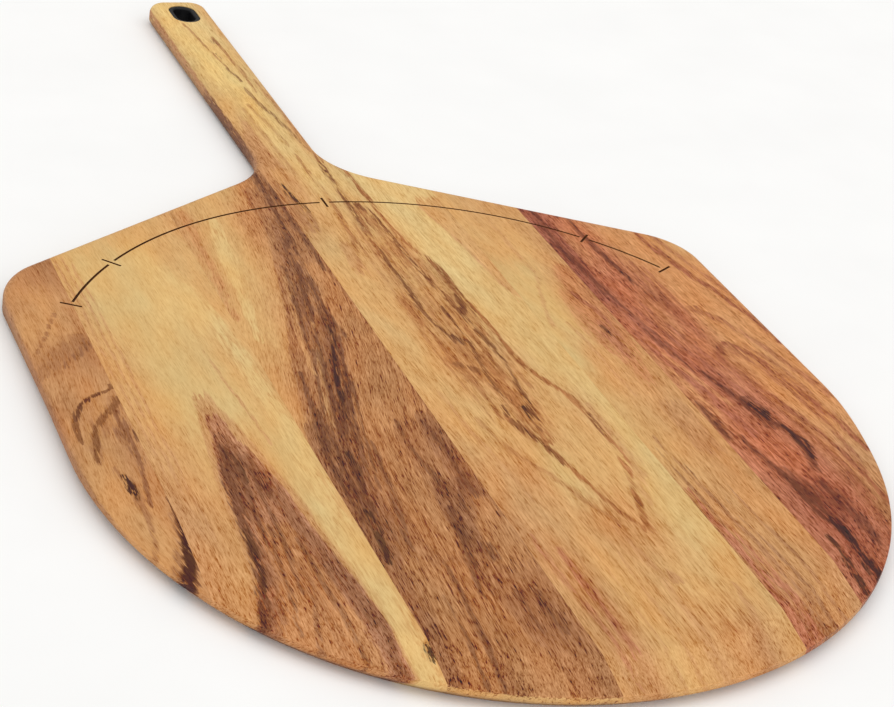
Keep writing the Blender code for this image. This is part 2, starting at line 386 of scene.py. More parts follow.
def guide_point(angle, radius):
    """A place on the guide, with the angle counted from the handle's direction towards +X."""
    return Vector((radius * sin(angle), radius * cos(angle)))


def arc_outline(start, end, width):
    steps = max(1, round((end - start) / GROOVE_STEP))
    angles = [mix(start, end, share) for share in shares(steps)]
    inner = [guide_point(angle, GUIDE_RADIUS - width / 2) for angle in angles]
    outer = [guide_point(angle, GUIDE_RADIUS + width / 2) for angle in angles]
    return inner + outer[::-1]


def tick_outline(angle, width):
    along = guide_point(angle, 1.0)
    across = Vector((along.y, -along.x)) * width / 2
    near = along * (GUIDE_RADIUS - TICK_LENGTH / 2)
    far = along * (GUIDE_RADIUS + TICK_LENGTH / 2)
    return [near - across, near + across, far + across, far - across]


def add_groove(mesh, outline, *place):
    """A groove's cutter: straight above the top face and narrower towards its floor."""
    levels = [(THICKNESS + GROOVE_DEPTH, 1.0), (THICKNESS, 1.0),
              (THICKNESS - GROOVE_DEPTH, GROOVE_TAPER)]
    loops = [at_height(outline(*place, LINE_WIDTH * share), height) for height, share in levels]
    swept_solid(loops, mesh)


def guide_cutter():
    """Every line of the guide as one set of shallow tapered prisms."""
    lines = bmesh.new()
    for angle in GUIDE_TICKS:
        add_groove(lines, tick_outline, angle)
    for start, end in zip(GUIDE_TICKS, GUIDE_TICKS[1:]):
        add_groove(lines, arc_outline, start + GUIDE_GAP, end - GUIDE_GAP)
    return add_object("guide_cutter", lines, [], material_index=1)


def oblong(inset):
    """The hanging hole's outline, drawn in by an inset, as two half circles."""
    radius = HOLE_HALF_WIDTH - inset
    reach = HOLE_HALF_LENGTH - HOLE_HALF_WIDTH
    return [Vector((0, HOLE_CENTRE_Y + side * reach)) + direction(start + pi * share) * radius
            for side, start in ((1, 0.0), (-1, pi)) for share in shares(HOLE_STEPS)]


def hole_cutter():
    loops = [at_height(oblong(0.0), height) for height in (THICKNESS + HOLE_MARGIN, -HOLE_MARGIN)]
    return add_object("hole_cutter", swept_solid(loops), [])


def liner_solid():
    """The liner, from its section of four round corners, as (inset from the wall, height)."""
    low, high = LINER_LOW.z, LINER_HIGH.z
    small, lip = LINER_OUTER_ROUND, LINER_LIP_ROUND
    outer = LINER_GAP + small
    inner = HOLE_CAD_GAP + LINER_WALL - lip
    corners = [(outer, low + small, small, pi), (outer, high - small, small, pi / 2),
               (inner, high - lip, lip, 0.0), (inner, low + lip, lip, -pi / 2)]
    section = [point for corner in corners for point in quarter_round(*corner)[::-1]]
    return swept_solid([at_height(oblong(inset), height) for inset, height in section], ring=True)


# ---------------------------------------------------------------- shader nodes

class Nodes:
    """One material's node tree, with a short method for each kind of node it uses."""

    def __init__(self, name):
        self.material = bpy.data.materials.new(name)
        self.material.use_nodes = True
        self.tree = self.material.node_tree
        place = self.add("ShaderNodeTexCoord", {}).outputs["Object"]
        self.place = self.vectors('MULTIPLY', place, (1000, 1000, 1000))    # in millimetres

    def feed(self, socket, value):
        if isinstance(value, bpy.types.NodeSocket):
            self.tree.links.new(value, socket)
        elif isinstance(value, tuple) and socket.type == 'RGBA':
            socket.default_value = (*value, 1.0)
        else:
            socket.default_value = value

    def add(self, kind, inputs, **settings):
        node = self.tree.nodes.new(kind)
        for name, value in settings.items():
            setattr(node, name, value)
        for name, value in inputs.items():
            self.feed(node.inputs[name], value)
        return node

    def math(self, operation, a, b=0.0, c=0.0):
        return self.add("ShaderNodeMath", {0: a, 1: b, 2: c}, operation=operation).outputs[0]

    def vectors(self, operation, a, b, c=(0, 0, 0)):
        return self.add("ShaderNodeVectorMath", {0: a, 1: b, 2: c}, operation=operation).outputs[0]

    def span(self, value, low, high, to_low=0.0, to_high=1.0, kind='SMOOTHSTEP'):
        """Map a value from one range to another, held at both ends."""
        node = self.add("ShaderNodeMapRange", {0: value, 1: low, 2: high, 3: to_low, 4: to_high},
                        interpolation_type=kind, clamp=True)
        return node.outputs[0]

    def noise(self, place, size, seed, detail=2.0, rough=0.5):
        """Noise of a given feature size (x, y, z) in millimetres, from about 0 to 1."""
        scale = tuple(1.0 / length for length in size)
        moved = self.vectors('MULTIPLY_ADD', place, scale, (seed, seed, seed))
        node = self.add("ShaderNodeTexNoise", {"Vector": moved, "Scale": 1.0, "Detail": detail,
                                               "Roughness": rough})
        return node.outputs["Fac"]

    def curves(self, value, channels):
        """Up to three functions of one value, each drawn as a smooth curve through its points."""
        node = self.add("ShaderNodeRGBCurve", {1: value})
        node.mapping.extend = 'HORIZONTAL'
        for curve, points in zip(node.mapping.curves, channels):
            while len(curve.points) < len(points):
                curve.points.new(0.5, 0.5)
            for knot, spot in zip(curve.points, sorted(points)):
                knot.location = spot
                knot.handle_type = 'AUTO_CLAMPED'
        node.mapping.update()
        return self.add("ShaderNodeSeparateColor", {0: node.outputs[0]}).outputs

    def ramp(self, value, stops):
        node = self.add("ShaderNodeValToRGB", {0: value})
        elements = node.color_ramp.elements
        while len(elements) < len(stops):
            elements.new(0.5)
        for element, (place, colour) in zip(elements, stops):
            element.position = place
            element.color = (*colour, 1.0)
        return node.outputs[0]

    def blend(self, share, a, b):
        return self.add("ShaderNodeMix", {0: share, 6: a, 7: b}, data_type='RGBA').outputs[2]

    def bump(self, height, strength, distance):
        inputs = {"Strength": strength, "Distance": distance, "Height": height}
        return self.add("ShaderNodeBump", inputs).outputs[0]

    def surface(self, inputs):
        """Set the shader's own sockets, and give the finished material."""
        for name, value in inputs.items():
            self.feed(self.tree.nodes["Principled BSDF"].inputs[name], value)
        return self.material


# ---------------------------------------------------------------- wood

class Wood(Nodes):
    """Oiled hardwood whose base colours and marks are laid out in millimetres on a stave."""

    def __init__(self, name, y_range, lean, flow, curl=0.0, figure=1.0, plain=0.20,
                 raggedness=8.0):
        super().__init__(name)
        self.y_low, self.y_high = y_range
        self.curl = curl
        self.figure = figure
        self.plain = plain
        x, y, self.z = self.add("ShaderNodeSeparateXYZ", {0: self.place}).outputs
        # the figure leans through the thickness, so the sides and the underside show their own
        depth = self.math('MAXIMUM', self.math('SUBTRACT', LEAN_TOP, self.z), 0.0)
        x = self.math('MULTIPLY_ADD', depth, lean, x)
        drift = self.curves(self.along(y), [self.mark_points(flow)])[0]
        drift = self.math('MULTIPLY_ADD', drift, MARK_SPAN, -MARK_SPAN / 2)
        grain = self.add("ShaderNodeCombineXYZ", {0: self.math('SUBTRACT', x, drift), 1: y,
                                                  2: self.z}).outputs[0]
        seed = 3.7 * (1 + len(bpy.data.materials))
        self.noises = {kind: self.noise(grain, size, seed + offset, detail, rough)
                       for kind, (size, offset, detail, rough) in GRAIN.items()
                       if curl or kind != "ripple"}
        self.bundle = self.math('ADD', self.swing(BUNDLE_WEIGHTS), 1.0)
        self.packed = self.math('MAXIMUM', self.bundle, PACKED_FLOOR)
        self.come_and_go = self.span(self.noises["lengths"], *COME_AND_GO, 'LINEAR')
        self.place_y = y
        self.y = self.nudge(y, "strands", FIELD_RAGGEDNESS)
        ragged = self.nudge(self.nudge(x, "fibre", FIBRE_SHIFT), "wobble", WOBBLE_SHIFT)
        self.u = self.math('MULTIPLY_ADD', ragged, 1 / MARK_SPAN, 0.5)
        self.v_field = self.along(self.y)
        self.v_line = self.along(self.nudge(y, "strands", raggedness))

    def nudge(self, total, kind, weight):
        """Add one of the grain's noises, about its middle, with its weight."""
        return self.math('MULTIPLY_ADD', self.math('SUBTRACT', self.noises[kind], 0.5), weight,
                         total)

    def swing(self, weights):
        """The sum of the grain's noises about their middles, each with its own weight."""
        total = 0.0
        for kind, weight in weights.items():
            total = self.nudge(total, kind, weight)
        return total

    def along(self, y):
        return self.span(y, self.y_low, self.y_high, kind='LINEAR')

    def share_along(self, y):
        return (y - self.y_low) / (self.y_high - self.y_low)

    def mark_points(self, spots):
        return [(self.share_along(y), 0.5 + x / MARK_SPAN) for y, x in spots]

    def rows(self, *rows):
        """Base colours: a ramp of (x, colour) across the stave at each y, blended along it."""
        last_y = None
        for y, *stops in rows:
            across = self.ramp(self.u, [(0.5 + x / MARK_SPAN, colour) for x, colour in stops])
            if last_y is None:
                self.colour = across
            else:
                self.colour = self.blend(self.span(self.y, last_y, y), self.colour, across)
            last_y = y

    def band(self, v, knots, fade):
        """Distance from a mark's middle, its half width and its power, for (y, x, half) knots."""
        low = min(y for y, x, half in knots)
        high = max(y for y, x, half in knots)
        ends = [(low - fade, 0.0), (low, 1.0), (high, 1.0), (high + fade, 0.0)]
        middle, half, power = self.curves(v, [
            self.mark_points([(y, x) for y, x, half in knots]),
            [(self.share_along(y), half / MARK_SPAN) for y, x, half in knots],
            [(self.share_along(y), level) for y, level in ends]])
        return self.math('ABSOLUTE', self.math('SUBTRACT', self.u, middle)), half, power

    def lay(self, mask, strength, colour, body):
        """Cover the mask, broken up into strands where it thins out; more body, fewer gaps."""
        bundle = self.packed if body == PATCH_BODY else self.bundle
        cover = self.math('MULTIPLY', self.math('MULTIPLY', mask, bundle), body)
        share = self.span(cover, *COVER_RANGE, 0.0, strength)
        self.colour = self.blend(share, self.colour, colour)

    def streak(self, colour, strength, *route, fade=6.0, body=1.0):
        """A line of darker or paler wood along a route of (y, x, half width)."""
        knots = [(y, x, LINE_BLUR * half) for y, x, half in route]
        off, half, power = self.band(self.v_line, knots, fade)
        core = self.math('MULTIPLY', half, LINE_CORE)
        mask = self.span(off, half, core, 0.0, power, 'LINEAR')
        if body == 1.0:
            mask = self.math('MULTIPLY', mask, self.come_and_go)
        self.lay(mask, strength, colour, body)

    def patch(self, colour, strength, *edges, soft=2.0, fade=8.0):
        """A field of other wood between a left and a right edge, given as (y, left, right)."""
        knots = [(y, (left + right) / 2, (right - left) / 2) for y, left, right in edges]
        off, half, power = self.band(self.v_field, knots, fade)
        blur = soft / 2 / MARK_SPAN
        mask = self.span(off, self.math('ADD', half, blur), self.math('SUBTRACT', half, blur),
                         0.0, power)
        self.lay(mask, strength, colour, PATCH_BODY)

    def edge_face(self, colour, strength, low, high):
        """Another tone on the face round the edge, from one place along the board to another: the side
        grain's own colour, on some faces mixed with painted shade.
        """
        rim = self.span(self.place_y, BEVEL_FULL_Y * 1000, BEVEL_END_Y * 1000, *RIM_HEIGHTS)
        below = self.span(self.math('SUBTRACT', self.z, rim), *RIM_FALL)
        mask = self.math('MULTIPLY', below, self.span(self.z, *RIM_FOOT))
        for end, fade in ((low, RIM_FADE), (high, -RIM_FADE)):
            mask = self.math('MULTIPLY', mask, self.span(self.place_y, end - fade, end + fade))
        self.lay(mask, strength, colour, RIM_BODY)

    def finish(self):
        """Fibre, streaks and pores over the painted figure, then the oiled surface."""
        light = self.add("ShaderNodeRGBToBW", {0: self.colour}).outputs[0]
        darkness = self.span(light, *DARKNESS_RANGE, kind='LINEAR')
        darkness = self.math('POWER', darkness, DARKNESS_POWER)
        power = self.math('MULTIPLY_ADD', darkness, self.figure, self.plain)
        pores = self.noises["pores"] = self.span(self.noises["dashes"], *PORE_RANGE)
        weights = {**TONE_WEIGHTS, "pores": PORE_WEIGHT}
        if self.curl:
            weights["ripple"] = self.curl
        # the darker the wood, the more its grain shows
        swing = self.math('MULTIPLY', self.swing(weights), power)
        swing = self.math('MINIMUM', swing, self.math('MULTIPLY', swing, LIGHTENING))
        wobble = self.math('SUBTRACT', self.noises["wobble"], 0.5)
        warmth = self.vectors('MULTIPLY_ADD', wobble, WARMTH, (1, 1, 1))
        tint = self.vectors('MULTIPLY_ADD', swing, TINT, warmth)
        toned = self.vectors('MULTIPLY', self.colour, tint)
        # painted shade: darker towards the lower arris, but not on the underside itself
        lower = self.math('MAXIMUM', self.span(self.z, *PAINTED_LOWER_SHADE, 'LINEAR'),
                          self.span(self.z, *UNDERSIDE_SHADE))
        toned = self.vectors('SUBTRACT', self.vectors('MULTIPLY', toned, lower), SHEEN_LIFT)
        sheen = self.span(self.noises["streaks"], 0.2, 0.8, *ROUGHNESS, 'LINEAR')
        raised = self.math('MULTIPLY', self.noises["fibre"], 0.35)
        height = self.math('MULTIPLY_ADD', pores, -1.0, raised)
        return self.surface({
            "Base Color": self.vectors('MAXIMUM', toned, DARKEST),
            "Roughness": self.math('MULTIPLY_ADD', pores, PORE_ROUGHNESS, sheen),
            "Specular IOR Level": 0.3,
            "Normal": self.bump(height, strength=0.35, distance=0.0001),
        })


def left_edge_wood():
    wood = Wood("oiled_left_edge_wood", (-150, 150), lean=0.4,
                flow=[(-130, 8), (-60, -2), (0, 0), (60, 4), (130, 0)], curl=0.5, figure=0.55, plain=0.22,
                raggedness=2.5)
    streak = wood.streak
    wood.rows(
        (-120, (-166, ORANGE), (-156, TAN)),
        (-90, (-173, ORANGE), (-160, ORANGE), (-154, TAN)),
        (-60, (-181, ORANGE), (-170, ORANGE), (-158, TAN)),
        (-25, (-181, TAN), (-172, ORANGE), (-160, BROWN), (-155, TAN)),
        (0, (-181, BROWN), (-170, TAN), (-160, ORANGE), (-155, TAN)),
        (25, (-181, TAN), (-170, TAN), (-156, TAN)),
        (45, (-181, TAN), (-168, BROWN), (-155, BROWN)),
        (70, (-181, ORANGE), (-168, ORANGE), (-155, TAN)),
        (95, (-181, TAN), (-166, ORANGE), (-155, TAN)),
        (115, (-176, TAN), (-166, BROWN), (-156, BROWN)),
        (132, (-165, BROWN), (-156, UMBER)))
    for y, x in ((50, -178), (55, -175.5), (60, -173), (64, -171), (70, -168.5), (75, -166), (80, -164)):
        streak(UMBER, 0.8, (y, x, 0.6), (y + 1, x + 0.5, 0.6), fade=2, body=1.3)
    streak(UMBER, 0.8, (34, -180, 5), (46, -168, 6), (58, -155, 6))
    streak(CHESTNUT, 0.8, (40, -168, 1.5), (46, -161, 2.4), (54, -154, 2.4))
    streak(TAN, 0.9, (-24, -176, 2), (-4, -173, 3.4), (6, -165, 4.4), (18, -153, 4))
    streak(UMBER, 0.8, (-34, -173, 1.6), (-20, -170, 2.6), (-8, -164, 3.4), (6, -153, 3.2))
    streak(PEAT, 0.85, (-20, -177, 0.6), (-8, -175.5, 0.8), (2, -172.5, 1.1), (10, -165, 1.3),
           (17, -154, 1), fade=4, body=1.3)
    streak(DARK, 0.8, (-5, -174.8, 0.7), (4, -171, 1.1), (9, -166, 1.1), (13, -160, 0.7), fade=2,
           body=1.3)
    streak(PEAT, 0.75, (-34, -174, 0.6), (-22, -171, 0.9), (-12, -168, 1.1), (-4, -162, 1.4),
           (7, -154, 1), fade=4, body=1.25)
    streak(CHESTNUT, 0.9, (-65, -160, 0.7), (-40, -157, 1.2), (-20, -158, 2.2), (-5, -157, 1.4))
    streak(DARK, 0.9, (-23, -153, 1.3), (-18, -153, 1.3), fade=3)
    streak(UMBER, 0.8, (-72, -163.5, 1.2), (-56, -165, 2.2), (-46, -167.5, 1.2), fade=6)
    streak(INK, 0.95, (-62, -164, 0.8), (-57, -165, 1.3), (-49, -166.5, 0.7), fade=3, body=1.2)
    streak(UMBER, 0.8, (-106, -168, 0.8), (-88, -165, 0.9), (-66, -163.5, 0.9))
    streak(CHESTNUT, 0.7, (-130, -162, 3.6), (-105, -158, 2.6), (-80, -153, 1.6))
    streak(DARK, 0.9, (-130, -160.5, 2), (-110, -157, 1.9), (-90, -153.8, 1.2), (-70, -152.6, 0.6),
           body=1.4)
    streak(INK, 0.75, (-132, -161, 1.2), (-118, -158.8, 1.4), (-100, -155.4, 1), (-84, -153.2, 0.5),
           body=1.3)
    # the blade's left side face: darker brown, partly its own side grain and partly painted shade
    wood.edge_face(UMBER, 0.8, -75, 150)
    return wood.finish()


def left_outer_wood():
    wood = Wood("oiled_left_outer_wood", (-215, 185), lean=0.5,
                flow=[(-200, 6), (-80, 2), (40, -2), (180, -10)], figure=1.35, plain=0.2)
    streak, patch = wood.streak, wood.patch
    wood.rows(
        (-170, (-145, TAN), (-100, AMBER), (-92, STRAW), (-86, HONEY)),
        (-120, (-151, TAN), (-140, ORANGE), (-101, HONEY), (-90, STRAW)),
        (-80, (-151, TAN), (-140, ORANGE), (-104, HONEY), (-98, STRAW), (-88, HONEY)),
        (-40, (-151, ORANGE), (-140, AMBER), (-130, HONEY), (-106, HONEY), (-98, STRAW)),
        (0, (-151, AMBER), (-141, HONEY), (-130, STRAW), (-105, STRAW), (-89, HONEY)),
        (40, (-151, AMBER), (-141, HONEY), (-130, STRAW), (-118, STRAW), (-90, HONEY)),
        (80, (-151, AMBER), (-141, STRAW), (-130, STRAW), (-110, CREAM), (-98, CREAM), (-89, HONEY)),
        (125, (-151, HONEY), (-143, STRAW), (-118, STRAW), (-108, CREAM), (-98, HONEY)),
        (165, (-104, HONEY), (-95, HONEY), (-87, AMBER)))
    for x in (-150.5, -147, -143.5):
        streak(TAN, 0.7, (-90, x, 0.7), (0, x + 0.6, 0.5), (130, x - 0.4, 0.5))
    streak(CREAM, 0.8, (-190, -90, 3), (-100, -92, 3.6), (-40, -89, 3), (20, -91, 2.4), (60, -93, 2.6),
           (100, -98, 3.2), (125, -109, 3.6))
    patch(TAN, 0.7, (-190, -160, -94), (-120, -136, -99), (-60, -130, -104), (-20, -125, -111),
          (-4, -122, -115.5), soft=6, fade=12)
    patch(COCOA, 1.0, (-190, -172, -95), (-160, -150, -97), (-150, -141.5, -97.5), (-140, -138, -98),
          (-120, -133, -101), (-100, -130.5, -103), (-60, -128, -106.5), (-40, -125, -110),
          (-24, -121.5, -115), soft=4, fade=14)
    patch(CLAY, 0.75, (-190, -156, -104), (-150, -133, -107), (-112, -124, -111), soft=10, fade=24)
    patch(UMBER, 0.3, (-120, -132, -106), (-80, -129, -107), (-60, -128, -107), (-40, -125, -110),
          (-22, -121.5, -116), soft=5, fade=20)
    patch(CHESTNUT, 0.6, (-80, -128.5, -121), (-60, -127.5, -112), (-44, -124.5, -112), (-30, -122, -117),
          soft=5, fade=6)
    streak(DARK, 0.9, (-68, -112, 1.2), (-56, -114, 1.8), (-44, -116, 1.4))
    streak(DARK, 0.9, (-60, -125, 2.2), (-48, -122.5, 2.8), (-36, -120.5, 1.8))
    streak(INK, 0.7, (-56, -118.5, 0.9), (-46, -118.5, 1.2), (-38, -119.5, 0.9))
    streak(CHESTNUT, 0.7, (-165, -144.5, 2), (-152, -139, 2.2), (-140, -135, 2.4), (-120, -131, 2.6),
           (-100, -128.4, 2.6), (-80, -126.6, 2.4), (-62, -125, 2.2))
    streak(DARK, 0.9, (-165, -146, 1.4), (-152, -140.5, 1.6), (-140, -136.6, 1.8), (-120, -132, 2.1),
           (-100, -129.6, 2), (-80, -127.8, 1.8), (-62, -126.5, 1.6), body=1.2)
    streak(INK, 0.7, (-128, -133, 0.8), (-112, -131, 1.1), (-94, -129.4, 0.9))
    streak(DARK, 0.7, (-100, -123, 0.8), (-70, -120.5, 1), (-40, -119, 0.8))
    streak(DARK, 0.6, (-130, -120, 0.7), (-100, -117, 0.9), (-66, -115.5, 0.8))
    streak(DARK, 0.6, (-150, -127, 0.7), (-125, -124, 0.8), (-95, -119.5, 0.7))
    streak(DARK, 0.6, (-170, -109, 0.7), (-140, -110.5, 0.9), (-105, -111.5, 0.8))
    streak(CHESTNUT, 0.7, (-180, -124, 0.8), (-155, -121.5, 0.9), (-130, -115, 0.7))
    streak(CHESTNUT, 0.7, (-165, -140, 2), (-140, -132, 2.2), (-110, -126, 2.2))
    streak(CHESTNUT, 0.9, (-190, -97.5, 1.8), (-150, -101, 2.4), (-120, -104.5, 2.6), (-80, -108.5, 2.2),
           (-45, -112, 1.4))
    streak(UMBER, 0.7, (-185, -112, 1.4), (-150, -116, 2), (-120, -116, 1.6))
    streak(TAN, 0.7, (-30, -100, 0.6), (0, -103, 0.6), (38, -107, 0.5))
    streak(INK, 0.9, (-177, -84.8, 1.5), (-173, -84.8, 1.2), fade=3)
    return wood.finish()


def left_inner_wood():
    wood = Wood("oiled_left_inner_wood", (-225, 235), lean=0.5,
                flow=[(-210, -14), (-120, -10), (-40, -4), (40, 12), (120, 24), (220, 30)], figure=1.2,
                plain=0.22)
    streak, patch = wood.streak, wood.patch
    wood.rows(
        (-60, (-84, CLAY), (-60, UMBER)),
        (0, (-83, AMBER), (-74, CLAY), (-60, BROWN)),
        (60, (-83, HONEY), (-72, HONEY), (-62, ORANGE), (-40, BROWN)),
        (120, (-83, AMBER), (-78, AMBER), (-70, STRAW), (-60, HONEY), (-45, CLAY)),
        (160, (-82, ORANGE), (-77, ORANGE), (-70, HONEY), (-58, HONEY), (-49, CLAY), (-30, BROWN)),
        (200, (-50, HONEY), (-36, CLAY), (-26, UMBER)))
    streak(CLAY, 0.8, (70, -83, 2), (120, -80, 2), (170, -78, 2.2))
    streak(CREAM, 0.8, (50, -78, 1.2), (100, -72, 2.2), (160, -65, 2))
    patch(UMBER, 0.9, (-225, -100, -10), (-50, -86, -10), (-20, -78, -10), (20, -70, -10), (60, -59, -12),
          (90, -52, -14), (120, -46, -16), (160, -38, -18), soft=8, fade=40)
    patch(CLAY, 0.6, (50, -36, -23), (85, -34, -25), (108, -33, -26), soft=8)
    patch(CLAY, 0.5, (-20, -50, -26), (5, -46, -25), (35, -38, -24), soft=10)
    patch(CLAY, 0.4, (-115, -60, -50), (-60, -58, -47), (-20, -56, -45), soft=8)
    patch(CLAY, 0.5, (-125, -38, -25), (-105, -34, -25), (-94, -30, -25), soft=8)
    patch(CLAY, 0.4, (-205, -76, -66), (-160, -75, -66), (-128, -74, -66), soft=5)
    patch(CLAY, 0.4, (-205, -56, -40), (-175, -60, -46), (-135, -64, -52), soft=8)
    patch(CHESTNUT, 0.6, (-80, -31, -24), (-50, -32, -24), (-28, -30, -25), soft=5)
    patch(CHESTNUT, 0.65, (-116, -46, -40), (-96, -46, -36), (-86, -45, -30), (-78, -43, -27), soft=5)
    patch(CHESTNUT, 0.4, (-174, -44, -26), (-158, -44, -28), soft=8)
    patch(CHESTNUT, 0.5, (-205, -86, -78), (-160, -86, -80), (-118, -86, -78), soft=5)
    patch(CHESTNUT, 0.6, (-115, -84, -76), (-90, -84, -68), (-66, -84, -68), (-30, -82, -72), soft=6)
    # the bundle of dark strands from the handle's root down to the left
    for off in (-10, -7, -4, 3, 6, 9):
        streak(DARK, 0.7, (-70, -74 + off, 0.5), (0, -58 + off * 0.8, 0.7), (60, -45 + off * 0.6, 0.7),
               (115, -37 + off * 0.4, 0.4))
    streak(ORANGE, 0.6, (20, -63, 0.7), (60, -55, 1.1), (100, -47, 0.9))
    streak(ORANGE, 0.6, (-20, -69, 0.7), (10, -61, 1), (36, -54, 0.8))
    streak(ORANGE, 0.5, (60, -48, 0.6), (95, -43, 0.8), (130, -37.5, 0.7))
    streak(DARK, 0.9, (125, -34, 1.2), (150, -31.5, 1.5), (180, -29, 1.3), (215, -27.5, 1.3))
    streak(DARK, 0.8, (112, -25, 1), (160, -24.5, 1.2), (205, -23.8, 1))
    streak(CHESTNUT, 0.7, (60, -52, 2), (90, -45, 2.6), (125, -39, 2.2), (160, -34, 1.4))
    streak(DARK, 0.9, (66, -47, 1.2), (80, -43.5, 1.8), (100, -40, 1.8), (138, -35, 1.2))
    streak(DARK, 0.8, (40, -57, 0.9), (60, -53, 1), (85, -49, 1), (110, -45, 0.9))
    streak(DARK, 0.8, (50, -37.5, 0.9), (80, -38, 1.1), (110, -36, 1))
    streak(CHESTNUT, 0.7, (-20, -62, 3), (10, -55, 3.2), (40, -46, 3), (60, -42, 2.2))
    streak(INK, 0.9, (18, -50.5, 0.9), (32, -47, 1.2), (42, -43.8, 1.2), (58, -41, 0.8))
    streak(DARK, 0.9, (10, -49, 0.9), (26, -45.8, 1.2), (40, -42, 1), (64, -38.5, 0.8))
    streak(INK, 0.9, (-18, -61, 1), (-2, -57, 1.3), (12, -53.5, 1), (22, -51, 0.8))
    streak(DARK, 0.9, (-26, -60, 0.9), (-8, -55.5, 1.1), (8, -51.5, 1), (20, -48.5, 0.8))
    streak(DARK, 0.95, (-50, -69.5, 1.2), (-30, -65.5, 1.4), (-12, -61, 1.2))
    streak(DARK, 0.85, (-56, -67, 0.8), (-36, -63, 1), (-14, -57.5, 0.9))
    streak(DARK, 0.8, (-24, -67, 0.9), (0, -61.5, 1.1), (20, -57, 1.1), (45, -52, 0.9))
    streak(CHESTNUT, 0.7, (-100, -78, 3), (-70, -73, 3.4), (-40, -68, 3))
    streak(INK, 0.9, (-76, -73.5, 1.1), (-62, -72, 1.8), (-50, -70, 1.4))
    streak(DARK, 0.9, (-100, -76.5, 1.2), (-80, -74, 1.5), (-58, -71.5, 1.5))
    streak(DARK, 0.9, (-46, -78, 1.4), (-34, -77, 1.8), (-10, -72.5, 1.3), (14, -69, 0.9))
    streak(DARK, 0.85, (-92, -81, 1), (-70, -80.5, 1.1), (-46, -80.5, 1))
    streak(DARK, 0.8, (-84, -77.5, 0.7), (-66, -76.5, 0.8), (-40, -74, 0.7))
    streak(INK, 0.8, (-118, -81, 1.3), (-106, -79, 1.6), (-92, -77.5, 1.2))
    streak(DARK, 0.7, (-112, -69, 1), (-90, -64, 1.4), (-70, -60.5, 1.1), (-44, -57, 0.8))
    streak(DARK, 0.7, (-205, -66, 0.9), (-170, -62, 1.1), (-130, -59, 0.9))
    streak(DARK, 0.7, (-205, -71, 0.7), (-180, -69.5, 0.9), (-150, -69, 0.7))
    streak(DARK, 0.7, (-145, -52, 0.9), (-120, -47, 1.4), (-95, -43.5, 1.3))
    streak(DARK, 0.7, (-72, -40, 0.8), (-50, -41, 0.9), (-30, -40.5, 0.8))
    streak(DARK, 0.75, (-84, -27.5, 0.9), (-58, -27, 1.2), (-32, -28.5, 0.9))
    streak(DARK, 0.7, (-90, -36, 0.9), (-82, -33, 1.4), (-76, -30, 0.9))
    streak(DARK, 0.75, (-126, -38, 1.4), (-119, -38, 1.6), fade=4)
    streak(DARK, 0.65, (-174, -30, 1.2), (-162, -31, 1.6), (-152, -30, 1), fade=4)
    streak(DARK, 0.6, (-172, -38, 0.9), (-160, -39, 1.2), (-150, -38, 0.8), fade=4)
    wood.edge_face(HONEY, 0.8, -220, -150)
    return wood.finish()


